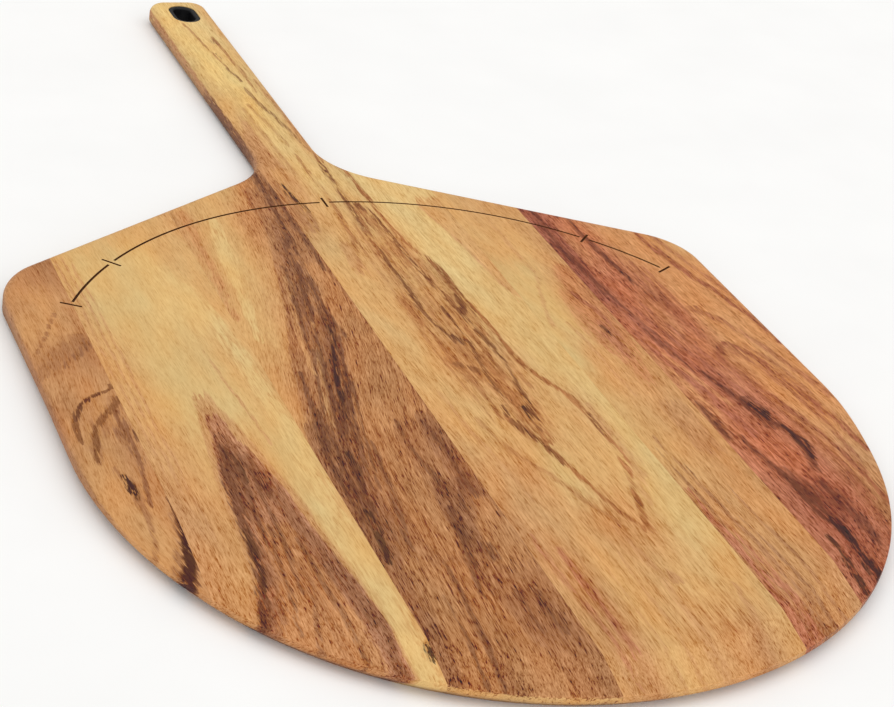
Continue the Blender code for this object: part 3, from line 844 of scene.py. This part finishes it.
def handle_wood():
    wood = Wood("oiled_handle_wood", (-225, 460), lean=-0.6,
                flow=[(-210, 4), (-110, 2), (-40, 0), (60, -4), (200, -8), (450, -10)], figure=0.9,
                plain=0.33, raggedness=5.0)
    streak, patch = wood.streak, wood.patch
    wood.rows(
        (-200, (-20, ORANGE), (-8, TAN), (5, HONEY), (25, ORANGE), (45, TAN), (60, AMBER)),
        (-155, (-20, ORANGE), (-8, TAN), (5, HONEY), (20, AMBER), (35, HONEY), (58, HONEY)),
        (-115, (-20, TAN), (-8, ORANGE), (5, AMBER), (20, ORANGE), (35, ORANGE), (50, STRAW)),
        (-75, (-20, ORANGE), (-8, ORANGE), (5, ORANGE), (16, STRAW), (27, HONEY), (40, HONEY),
         (60, STRAW)),
        (-35, (-20, AMBER), (-8, HONEY), (6, HONEY), (18, ORANGE), (35, HONEY), (50, AMBER), (60, STRAW)),
        (10, (-20, HONEY), (-8, HONEY), (8, ORANGE), (20, ORANGE), (35, AMBER), (48, STRAW)),
        (60, (-20, HONEY), (-8, HONEY), (5, AMBER), (15, AMBER), (25, AMBER), (40, STRAW), (60, STRAW)),
        (120, (-20, HONEY), (-8, HONEY), (5, AMBER), (15, HONEY), (25, ORANGE), (34, CREAM), (50, CREAM),
         (60, HONEY)),
        (165, (-20, BROWN), (-14, AMBER), (5, HONEY), (20, HONEY), (32, CREAM), (48, CREAM), (60, STRAW)),
        (205, (-20, TAN), (-14, AMBER), (-8, ORANGE), (2, CREAM), (20, STRAW), (30, CREAM)),
        (245, (-18, TAN), (-12, ORANGE), (-3, CREAM), (8, STRAW), (14, AMBER)),
        (290, (-17, HONEY), (-8, STRAW), (0, BUTTER), (10, STRAW), (16, ORANGE)),
        (350, (-17, STRAW), (-10, BUTTER), (-2, BUTTER), (10, STRAW), (16, HONEY)),
        (430, (-17, CREAM), (-12, BUTTER), (-2, CREAM), (6, CREAM), (14, HONEY)))
    streak(UMBER, 0.8, (150, -16, 2), (165, -15, 2.6), (185, -16, 2.2), (200, -18, 1.4))
    streak(INK, 0.9, (172, -12, 0.8), (182, -14, 1.2), (196, -15.5, 0.8))
    streak(WALNUT, 0.72, (105, -7, 0.9), (125, -2, 1), (140, 1, 1), (170, 3.5, 1), (230, 4, 0.9))
    patch(TAN, 0.6, (112, -10, -4), (125, -9, -3), soft=4)
    streak(WALNUT, 0.47, (20, 12, 5), (60, 9, 4.2), (120, 10, 3), (200, 13, 2))
    for x in (1, 5.5, 13, 16.5, 19, 24):
        streak(WALNUT, 0.57, (-30, x + 2, 0.5), (40, x, 0.8), (100, x + 0.5, 0.6), (150, x + 1.5, 0.4))
    streak(PEAT, 0.92, (38, 13, 0.8), (50, 10, 0.9), (70, 8.5, 1), (100, 10, 0.9), (130, 10, 1),
           (160, 11, 1), (190, 12.5, 1), (232, 14, 1))
    streak(DARK, 0.9, (34, 17, 1.2), (38, 13.5, 1.8), fade=3)
    streak(WALNUT, 0.92, (120, 9, 0.9), (145, 11, 1.1), (160, 13, 1.2), (173, 17, 1.8), fade=3)
    streak(PEAT, 0.97, (65, 26.5, 1), (80, 25, 1.4), (100, 23, 1.1), (130, 22, 1.1), (160, 20.5, 1.2),
           (174, 17, 1.8), fade=3)
    streak(WALNUT, 0.72, (110, 17, 2.8), (140, 17.5, 3.2), (162, 17, 2.2))
    streak(WALNUT, 0.57, (40, 31, 3), (70, 29, 3.5), (110, 27, 2.5))
    streak(PEAT, 0.97, (60, 28, 1.2), (68, 31, 1.9), (76, 32, 1.2), fade=4)
    streak(WALNUT, 1, (-118, 36, 1), (-105, 39, 1.1), (-90, 43, 1.1), (-75, 48, 1.4), (-60, 50, 1.2),
           (-40, 49, 1.5), (-20, 47, 1.2), (-5, 42, 1.1), (10, 37, 1.1), (30, 36, 1.2), (50, 36, 1.1),
           (80, 33.5, 1.2), (110, 32, 1.2), (130, 28.5, 1.1), (150, 26, 1.1), (180, 25, 1.1),
           (228, 22, 1.2))
    streak(PEAT, 0.92, (-48, 49, 0.9), (-36, 49, 1.1), fade=4)
    streak(PEAT, 0.55, (60, 34.5, 0.9), (85, 33.5, 1.1), (112, 32, 1.1))
    streak(BROWN, 0.5, (-100, 45, 1.6), (-70, 52, 2.4), (-30, 52, 2))
    streak(WALNUT, 1, (-117, 33, 1), (-108, 29, 1), (-95, 25.5, 1), (-75, 22, 1.1), (-60, 19, 1.4),
           (-48, 16, 1.8), (-38, 12, 2), (-26, 8.5, 1.2))
    streak(PEAT, 0.82, (-66, 20, 1), (-50, 16.5, 1.1), (-38, 12, 1.4))
    streak(WALNUT, 0.82, (-20, 8, 1.1), (10, 8, 1), (40, 5, 1), (75, 3.5, 0.9))
    streak(WALNUT, 0.57, (-112, 24, 1), (-98, 17, 1), (-80, 12, 1.1), (-62, 4, 1.1), (-50, 0, 1.1),
           (-34, -4, 0.9))
    streak(WALNUT, 0.82, (3, 13, 5.5), (9, 9, 5), (17, 4, 2.2), fade=5)
    streak(PEAT, 0.72, (6, 18, 2.5), (10, 12, 2.5), (14, 7, 1.5), fade=4)
    streak(PEAT, 0.92, (-26, 22, 1.8), (-14, 18, 1.6), (-2, 17, 1.6), (12, 18, 1.2), (40, 20, 0.9),
           (62, 20, 0.8))
    streak(WALNUT, 0.92, (-50, 21, 2.2), (-36, 22.5, 3.8), (-22, 23, 3.8), (-6, 21, 2.8), (20, 22, 2.2))
    streak(INK, 0.95, (-33, 23, 1.3), (-26, 23, 1.8), fade=4)
    streak(PEAT, 0.92, (-40, 22, 1.2), (-25, 25, 1.2), (-10, 27, 1.1), (15, 29, 1), (35, 28.5, 0.9),
           (60, 27, 0.9))
    streak(WALNUT, 0.72, (-5, 32, 1), (20, 32, 1), (45, 31, 0.9))
    streak(WALNUT, 0.72, (20, 24, 0.9), (45, 24, 1), (70, 22, 0.9))
    streak(PEAT, 0.97, (-29, 12, 1.2), (-22, 12.5, 1.4), fade=3)
    streak(TAN, 0.6, (-90, -6, 0.9), (-50, -9, 0.9), (-10, -12, 0.7))
    streak(BROWN, 0.7, (-155, 30, 2.2), (-150, 29, 1.8), fade=3)
    streak(RUST, 0.7, (-190, -9, 1.6), (-165, -8, 1.8), (-130, -9, 1))
    streak(RUST, 0.6, (-205, -14, 1), (-170, -15, 1.2), (-120, -17, 0.9))
    streak(BROWN, 0.6, (-205, 44, 2), (-180, 49, 1.4), (-165, 52, 0.9))
    streak(TAN, 0.6, (-210, 22, 2), (-160, 24, 1.4), (-120, 22, 1))
    for x in (-18, -13, -6, 3, 12):
        streak(TAN, 0.5, (-212, x, 0.8), (-170, x + 1.5, 0.6), (-125, x + 2.0, 0.4))
    patch(AMBER, 0.8, (75, 61, 70), (110, 57, 70), (140, 54, 70), (170, 50, 70), soft=1.5)
    streak(TAN, 0.7, (80, 60, 0.6), (110, 57, 0.7), (140, 54, 0.7), (170, 50, 0.6))
    # the handle's own lines
    streak(WALNUT, 0.75, (345, 2, 0.5), (375, -1, 0.7), (395, -3, 0.7), (415, -5, 0.5))
    streak(WALNUT, 0.75, (320, 8, 0.5), (345, 8.5, 0.7), (370, 8, 0.7), (392, 6, 0.7))
    streak(PEAT, 0.75, (365, 2, 0.9), (371, 2, 1), fade=3)
    streak(PEAT, 0.75, (386, 5.5, 0.9), (391, 5, 0.9), fade=3)
    streak(PEAT, 0.75, (333, 3.5, 0.9), (347, 1, 0.8), fade=4)
    streak(PEAT, 0.71, (240, 13, 0.8), (260, 11, 0.9), (280, 8, 1), (300, 5, 0.9), (318, 3, 0.8))
    streak(WALNUT, 0.75, (228, 14.5, 1.2), (260, 14, 1), (300, 13, 0.9), (330, 12, 0.8))
    streak(WALNUT, 0.51, (215, -4, 0.8), (250, -5, 0.8), (290, -6, 0.8))
    streak(WALNUT, 0.51, (250, 3, 0.8), (275, 1, 0.8), (295, -1, 0.8))
    patch(TAN, 0.7, (225, -17, -9), (250, -17, -11), (270, -14, -10), soft=4)
    # the handle's side faces: brown, partly their own side grain and partly painted shade, and darker
    # from 245 to 322 mm
    wood.edge_face(BROWN, 0.95, 210, 480)
    wood.edge_face(DARK, 0.85, 245, 322)
    return wood.finish()


def right_inner_wood():
    wood = Wood("oiled_right_inner_wood", (-220, 195), lean=0.5,
                flow=[(-200, 4), (-100, 2), (0, 4), (100, -2), (180, -8)], figure=1.3, plain=0.2)
    streak, patch = wood.streak, wood.patch
    wood.rows(
        (-200, (66, RUST), (78, BROWN), (90, TAN)),
        (-160, (66, BROWN), (76, TAN), (88, ORANGE), (100, TAN)),
        (-120, (66, TAN), (78, ORANGE), (90, ORANGE), (100, ORANGE)),
        (-60, (66, HONEY), (78, AMBER), (90, ORANGE), (100, ORANGE)),
        (-15, (66, HONEY), (76, AMBER), (88, ORANGE), (100, ORANGE)),
        (15, (66, STRAW), (74, AMBER), (88, AMBER), (100, ORANGE)),
        (45, (66, STRAW), (78, STRAW), (86, ORANGE), (100, TAN)),
        (85, (66, STRAW), (78, STRAW), (88, AMBER), (100, ORANGE)),
        (120, (66, HONEY), (78, HONEY), (88, HONEY), (100, ORANGE)),
        (170, (66, HONEY), (76, AMBER), (88, AMBER), (98, AMBER)))
    patch(SIENNA, 0.75, (6, 91, 94), (18, 89, 98), (30, 88, 100), (50, 89, 102), (80, 94, 103), soft=14,
          fade=22)
    streak(SIENNA, 0.5, (8, 92, 2.4), (18, 88.5, 2.6), (30, 86, 2.6), (45, 86, 2.4), (66, 88, 1.8),
           fade=12)
    streak(WINE, 0.55, (14, 93, 3), (24, 93, 3.4), (40, 94, 2.6))
    streak(WINE, 0.6, (45, 98, 1), (58, 96.5, 1.2), (68, 93, 1))
    streak(DARK, 0.9, (31, 92.5, 0.9), (35, 92.3, 1.2), (38, 92.3, 0.9), fade=3)
    patch(BROWN, 0.6, (-62, 88, 98), (-40, 88, 98), soft=8, fade=12)
    streak(TAN, 0.55, (45, 68, 0.8), (70, 75, 0.9), (90, 81, 0.9), (160, 82, 0.8))
    streak(TAN, 0.6, (-20, 80, 0.9), (10, 79, 0.9), (40, 77, 0.7))
    for x, top in ((64, -116), (67.5, -78), (70.5, -128), (74, -92), (79, -120), (86, -104)):
        streak(CHESTNUT, 0.65, (-205, x + 7, 1.1), (-170, x + 3.5, 1), (top - 16, x + 1, 0.7),
               (top, x, 0.3), fade=16)
    streak(RUST, 0.85, (-205, 66, 2.6), (-170, 66, 2.2), (-140, 67, 1.6), (-100, 66, 1))
    streak(RUST, 0.7, (-200, 74, 1.6), (-160, 72.5, 1.4), (-125, 71, 0.9))
    streak(UMBER, 0.7, (-195, 82, 1.2), (-160, 78, 1), (-110, 74, 0.8), (-60, 71, 0.7))
    streak(BROWN, 0.6, (-190, 90, 1), (-150, 88, 0.9), (-110, 86, 0.7))
    return wood.finish()


def right_edge_wood():
    wood = Wood("oiled_right_edge_wood", (-205, 175), lean=-0.5,
                flow=[(-180, 10), (-100, 8), (-40, 4), (40, -4), (160, -10)], curl=0.4, figure=1.3,
                plain=0.2, raggedness=5.0)
    streak, patch = wood.streak, wood.patch
    wood.rows(
        (-160, (108, RUST), (118, WINE), (130, RUST)),
        (-120, (105, RUST), (118, WINE), (130, WINE), (142, RUST), (152, UMBER)),
        (-80, (105, BRICK), (118, BRICK), (130, BRICK), (140, RUST), (150, SIENNA), (160, TAN)),
        (-40, (105, SIENNA), (118, BRICK), (128, RUST), (140, BRICK), (152, COPPER), (162, COPPER)),
        (0, (105, SIENNA), (118, BRICK), (128, BRICK), (142, SIENNA), (152, COPPER), (162, COPPER),
         (174, COPPER)),
        (40, (105, BRICK), (118, BRICK), (128, SIENNA), (140, BRICK), (150, COPPER), (162, COPPER),
         (174, COPPER)),
        (80, (105, WINE), (118, BRICK), (128, BRICK), (140, SIENNA), (150, COPPER), (172, COPPER)),
        (120, (105, WINE), (118, SIENNA), (128, BRICK), (140, COPPER), (160, COPPER), (176, AMBER)),
        (150, (105, WINE), (112, WINE), (120, BRICK), (134, ROSE), (150, ORANGE)))
    patch(WINE, 0.9, (70, 103, 109), (90, 103, 112), (120, 103, 113), (160, 103, 115), soft=4)
    streak(MAROON, 0.85, (60, 110, 1.2), (75, 110, 2), (90, 109, 1.8), (110, 108, 1.4), (160, 111, 1.4))
    streak(WINE, 0.8, (-44, 130, 2.4), (-30, 126.5, 2.2), (-10, 122, 2.2), (10, 117, 2.2), (35, 113, 2),
           (62, 110, 1.6))
    streak(MAROON, 0.7, (-44, 130, 1.4), (-30, 127, 1.1), (-12, 122.5, 0.9))
    streak(MAROON, 0.7, (-6, 119, 0.8), (10, 116, 1), (30, 113, 0.8))
    streak(MAROON, 0.6, (20, 118, 0.6), (45, 114, 0.8), (64, 111, 0.8))
    streak(WINE, 0.8, (-60, 120, 1.4), (-30, 115, 1.6), (0, 110, 1.4), (30, 107, 1))
    streak(WINE, 0.7, (-36, 135, 1), (-10, 129, 1.2), (20, 123, 1.1), (50, 118, 0.9))
    streak(WINE, 0.6, (-30, 142, 0.9), (0, 134, 1), (30, 128, 1), (60, 123, 0.8))
    streak(COPPER, 0.6, (-40, 111, 1), (-24, 109, 1.4), (-6, 107.5, 1))
    streak(COPPER, 0.5, (-34, 121, 0.9), (-14, 116, 1), (6, 112, 0.8))
    streak(MAROON, 0.8, (-54, 133, 3), (-45, 133, 4), (-36, 130, 2.6), fade=6)
    streak(INK, 0.95, (-49, 134, 1.4), (-44, 133.5, 2.6), (-40, 131.5, 1.4), fade=4)
    streak(MAROON, 0.85, (-90, 134, 1.4), (-80, 138, 2), (-68, 139.5, 2.4), (-56, 137, 2))
    streak(INK, 0.85, (-82, 138, 1), (-70, 140, 1.7), (-60, 138, 1.2), fade=4)
    streak(MAROON, 0.8, (80, 129, 0.9), (110, 127, 1.2), (150, 127, 1.1))
    streak(GARNET, 0.8, (25, 139, 1.4), (50, 138, 1.8), (75, 140, 1.4), (95, 139, 0.9))
    streak(GARNET, 0.7, (30, 134.5, 0.8), (60, 134, 1), (90, 135, 0.8))
    streak(GARNET, 0.7, (40, 143.5, 0.8), (65, 144, 1), (90, 144, 0.8))
    streak(MAROON, 0.85, (-92, 115, 1.8), (-78, 114, 2.2), (-66, 113, 1.2))
    streak(MAROON, 0.85, (-60, 106, 1.6), (-50, 106, 1.8), (-36, 105.5, 1))
    streak(INK, 0.9, (-124, 117.5, 2.2), (-112, 118.5, 2.6), (-98, 117, 1.6))
    streak(MAROON, 0.8, (-128, 121, 3.6), (-110, 120, 4), (-92, 118, 2.6))
    streak(INK, 0.95, (-168, 121, 2.6), (-150, 121.5, 2.8), (-132, 120, 1.8))
    streak(INK, 0.85, (-170, 109.5, 1.4), (-155, 110.5, 1.6), (-143, 111, 1))
    streak(MAROON, 0.85, (-140, 135, 2.4), (-124, 133.5, 3), (-106, 131, 2.4))
    streak(GARNET, 0.8, (-150, 142, 1.6), (-130, 146, 1.6), (-100, 148, 1.2))
    streak(GARNET, 0.95, (-75, 172, 1.5), (-55, 167.5, 1.6), (-35, 163.5, 1.6), (-15, 160, 1.6),
           (0, 156.5, 1.7), (9, 152.5, 2.2), (14, 147.5, 2.6), fade=3)
    streak(GARNET, 0.95, (3, 139, 1.4), (9, 141.5, 2), (14, 146, 2.4), fade=3)
    streak(GARNET, 0.7, (-92, 160, 1.3), (-60, 161, 1.5), (-35, 159.5, 1.4), (-15, 156, 1.4),
           (0, 152, 1.6), (7, 147, 2))
    streak(GARNET, 0.7, (-34, 176.5, 1.4), (-20, 173.5, 1.5), (0, 168.5, 1.6), (20, 163, 1.6),
           (38, 156.5, 2), (47, 150, 2.4))
    streak(GARNET, 0.95, (16, 178.5, 1.3), (40, 175.5, 1.5), (60, 171.5, 1.6), (80, 166, 1.8),
           (110, 160, 1.8), (137, 157, 1.8))
    streak(GARNET, 0.65, (60, 178, 1.2), (85, 173, 1.3), (110, 168, 1.3), (125, 165, 1.2))
    streak(GARNET, 0.9, (-120, 160, 1.3), (-90, 156, 1.4), (-60, 151, 1.5), (-35, 146.5, 1.6),
           (-12, 141, 1.5), (4, 138, 1.2))
    streak(GARNET, 0.65, (-110, 152, 1.3), (-70, 147, 1.4), (-40, 142.5, 1.4), (-20, 138, 1.3))
    streak(GARNET, 0.6, (-60, 167, 1), (-30, 166.5, 1.2), (-5, 163, 1.1), (10, 158, 1))
    wood.edge_face(CHESTNUT, 0.6, -180, 150)
    return wood.finish()

# Each stave's name and its wood, from left to right
STAVES = {
    "left_edge_stave": left_edge_wood,
    "left_outer_stave": left_outer_wood,
    "left_inner_stave": left_inner_wood,
    "handle_stave": handle_wood,
    "right_inner_stave": right_inner_wood,
    "right_edge_stave": right_edge_wood,
}


def burnt_engraving():
    """The laser-burnt walls and floor of the engraved lines."""
    burnt = Nodes("burnt_engraving")
    char = burnt.noise(burnt.place, (0.6, 2.5, 0.6), 4.0, 3.0)
    colour = burnt.ramp(char, [(0.3, (0.040, 0.013, 0.004)), (0.7, (0.085, 0.030, 0.009))])
    return burnt.surface({"Base Color": colour, "Specular IOR Level": 0.1,
                          "Roughness": burnt.span(char, 0.3, 0.7, 0.75, 0.9)})


def moulded_liner():
    """Black moulded plastic with a faint mould texture, in some places shinier than in others."""
    moulded = Nodes("black_moulded_liner")
    grain = moulded.noise(moulded.place, (0.25, 0.25, 0.25), 2.0, 3.0)
    cloud = moulded.noise(moulded.place, (4.0, 4.0, 4.0), 6.0, 2.0)
    colour = moulded.ramp(cloud, [(0.3, (0.004, 0.004, 0.005)), (0.7, (0.008, 0.008, 0.009))])
    return moulded.surface({"Base Color": colour, "Specular IOR Level": 0.22,
                            "Roughness": moulded.span(cloud, 0.3, 0.7, 0.38, 0.52),
                            "Normal": moulded.bump(grain, strength=0.25, distance=0.00005)})


# ---------------------------------------------------------------- pieces

def smooth_rounded(piece):
    piece.data.shade_smooth()
    piece.data.set_sharp_from_angle(angle=SMOOTH_ANGLE)


def glue_lines():
    """The planes where the board is sawn: outside, between neighbouring staves, outside."""
    names = list(STAVES)
    lines = [(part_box(left)[1].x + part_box(right)[0].x) / 2 for left, right in zip(names, names[1:])]
    return [BOARD_LOW.x - SAW_CLEARANCE] + lines + [BOARD_HIGH.x + SAW_CLEARANCE]


def build_staves():
    burnt = burnt_engraving()
    guide = guide_cutter()
    hole = hole_cutter()
    board = board_solid()
    lines = glue_lines()
    for name, left, right in zip(STAVES, lines, lines[1:]):
        stave = board.copy()
        saw(stave, left + GLUE_GAP / 2, keep_right=True)
        saw(stave, right - GLUE_GAP / 2, keep_right=False)
        piece = add_object("oiled_" + name, stave, [STAVES[name](), burnt])
        cut_away(piece, [guide, hole] if name == "handle_stave" else [guide])
        smooth_rounded(piece)
        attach(piece, "root")
        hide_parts(name)
    board.free()
    bpy.data.objects.remove(guide)
    bpy.data.objects.remove(hole)


def build_liner():
    piece = add_object("moulded_hole_liner", liner_solid(), [moulded_liner()])
    smooth_rounded(piece)
    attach(piece, "root")
    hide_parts("hanging_hole_liner")


# ---------------------------------------------------------------- studio

def build_floor():
    """A wide pale floor with a faint mottle, on which the peel lies."""
    paper = Nodes("pale_floor")
    mottle = paper.noise(paper.place, (60, 60, 60), 1.0, 2.0)
    colour = paper.ramp(mottle, [(0.3, (0.93, 0.93, 0.925)), (0.7, (0.95, 0.95, 0.945))])
    sheet = bmesh.new()
    bmesh.ops.create_grid(sheet, x_segments=2, y_segments=2, size=6.0)
    floor = add_object("studio_floor", sheet, [paper.surface({
        "Base Color": colour, "Roughness": 0.95, "Specular IOR Level": 0.0})])
    floor.location.z = BOARD_LOW.z


def build_lights():
    """An even bright surround and one large soft light high on the right."""
    world = bpy.data.worlds.new("soft_studio")
    world.use_nodes = True
    background = world.node_tree.nodes["Background"]
    background.inputs["Color"].default_value = (1.0, 0.99, 0.97, 1.0)
    background.inputs["Strength"].default_value = 0.55
    bpy.context.scene.world = world
    data = bpy.data.lights.new("soft_key", 'SUN')
    data.energy = 1.74
    data.angle = radians(110)
    light = bpy.data.objects.new("soft_key", data)
    light.rotation_mode = 'QUATERNION'
    light.rotation_quaternion = Vector((-0.10, -0.55, 1.0)).to_track_quat('Z', 'Y')
    bpy.context.scene.collection.objects.link(light)


def build_camera():
    """A short telephoto above and to the left of the front, a little rolled."""
    target = Vector((0.0049, 0.0243, THICKNESS))
    distance = 0.936
    azimuth = radians(-27.79)
    elevation = radians(29.34)
    roll = radians(10.20)
    back = Vector((sin(azimuth) * cos(elevation), -cos(azimuth) * cos(elevation),
                   sin(elevation)))
    data = bpy.data.cameras.new("camera")
    data.lens = 82.33
    data.sensor_width = 36.0
    camera = bpy.data.objects.new("camera", data)
    camera.location = target + back * distance
    camera.rotation_mode = 'QUATERNION'
    aim = (-back).to_track_quat('-Z', 'Y')
    camera.rotation_quaternion = aim @ Quaternion((0.0, 0.0, 1.0), roll)
    bpy.context.scene.collection.objects.link(camera)
    bpy.context.scene.camera = camera


build_staves()
build_liner()
build_floor()
build_lights()
build_camera()
bpy.context.scene.view_settings.view_transform = 'Standard'
